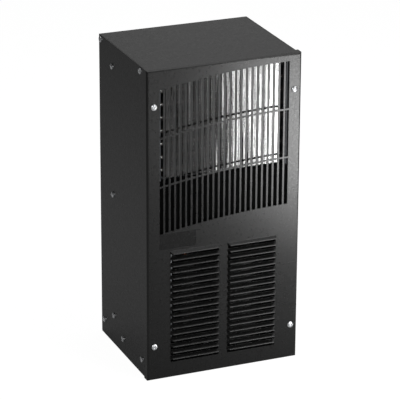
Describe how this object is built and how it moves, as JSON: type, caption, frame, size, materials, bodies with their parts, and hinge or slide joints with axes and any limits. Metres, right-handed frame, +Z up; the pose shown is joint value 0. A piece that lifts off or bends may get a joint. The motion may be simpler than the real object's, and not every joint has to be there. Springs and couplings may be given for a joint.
{
  "type": "enclosure cooling unit",
  "caption": "Wall-mounted closed-loop air conditioner for an electrical enclosure, black sheet-steel cabinet with a slotted grille over louvres, compressor circuit and fans inside",
  "frame": {"origin": "centre of the base's underside: the middle of the cabinet's width and of its depth without gasket and louvres, at the plane it stands on", "axes": "+Z is up along the cabinet's height, +Y is the back that seals against the enclosure wall, -Y is the front grille, +X is to the right seen from the front"},
  "size_m": [0.2562, 0.2165, 0.508],
  "materials": {
    "black_paint": "fine-textured semi-gloss powder coat",
    "label_black": "blank film plate",
    "zinc": "zinc-plated steel",
    "galvanised": "galvanised sheet steel",
    "steel": "machined steel",
    "iron": "machined cast iron and laminations",
    "aluminium": "bare",
    "copper": "bare copper",
    "black_plastic": "moulded",
    "black_rubber": "moulded rubber",
    "foam": "closed-cell foam"
  },
  "bodies": {
    "cabinet": {"front_panel": "black_paint", "label_plate": "label_black", "front_panel_screws": "zinc", "panel_weld_nuts": "zinc", "left_side_panel": "black_paint", "right_side_panel": "black_paint", "top_panel": "black_paint", "base_pan": "black_paint", "back_plate": "black_paint", "side_screws": "zinc", "partition": "galvanised", "back_plate_rivets": "black_paint", "mounting_nuts": "zinc", "wall_gasket": "foam", "insulation_panel": "foam", "condenser_fins": "aluminium", "condenser_tubes": "copper", "condenser_end_plates": "galvanised", "air_baffle": "foam", "condenser_fan_shroud": "galvanised", "condenser_fan_motor": "black_paint", "condenser_fan_bracket": "galvanised", "evaporator_fins": "aluminium", "evaporator_tubes": "copper", "evaporator_end_plates": "galvanised", "enclosure_fan_frame": "black_plastic", "enclosure_fan_stator": "copper", "enclosure_fan_screws": "zinc", "drain_pan": "galvanised", "drain_tube": "black_rubber", "drain_fitting": "black_plastic", "compressor_shell": "black_paint", "compressor_lid": "black_paint", "compressor_feet": "black_paint", "compressor_grommets": "black_rubber", "compressor_studs": "zinc", "compressor_nuts": "zinc", "pump_cylinder": "iron", "pump_bearings": "iron", "motor_stator": "iron", "terminal_cover": "black_plastic", "suction_accumulator": "black_paint", "discharge_line": "copper", "suction_line": "copper", "liquid_line": "copper", "filter_drier": "copper", "capillary_tube": "copper", "line_grommets": "black_rubber", "control_box": "galvanised", "control_box_cover": "galvanised", "run_capacitor": "aluminium", "terminal_block": "black_plastic", "thermostat": "black_plastic"},
    "condenser_fan_rotor": {"condenser_fan": "aluminium", "condenser_fan_shaft": "steel"},
    "enclosure_fan_impeller": {"enclosure_fan_rotor": "black_plastic"},
    "compressor_crank": {"pump_crankshaft": "steel", "pump_roller": "steel", "motor_rotor": "iron"},
    "thermostat_dial": {"thermostat_knob": "black_plastic"}
  },
  "joints": [
    {"name": "condenser_fan_spin", "type": "hinge", "parent": "cabinet", "child": "condenser_fan_rotor", "pos_m": [0, -0.0383, 0.4152], "axis": [0, 1, 0], "continuous": true},
    {"name": "enclosure_fan_spin", "type": "hinge", "parent": "cabinet", "child": "enclosure_fan_impeller", "pos_m": [0, 0.08525, 0.424], "axis": [0, 1, 0], "continuous": true},
    {"name": "compressor_spin", "type": "hinge", "parent": "cabinet", "child": "compressor_crank", "pos_m": [0.04, -0.035, 0.09], "axis": [0, 0, 1], "continuous": true},
    {"name": "thermostat_turn", "type": "hinge", "parent": "cabinet", "child": "thermostat_dial", "pos_m": [-0.1022, -0.092, 0.18], "axis": [0, 1, 0], "range_deg": [0, 270]}
  ]
}
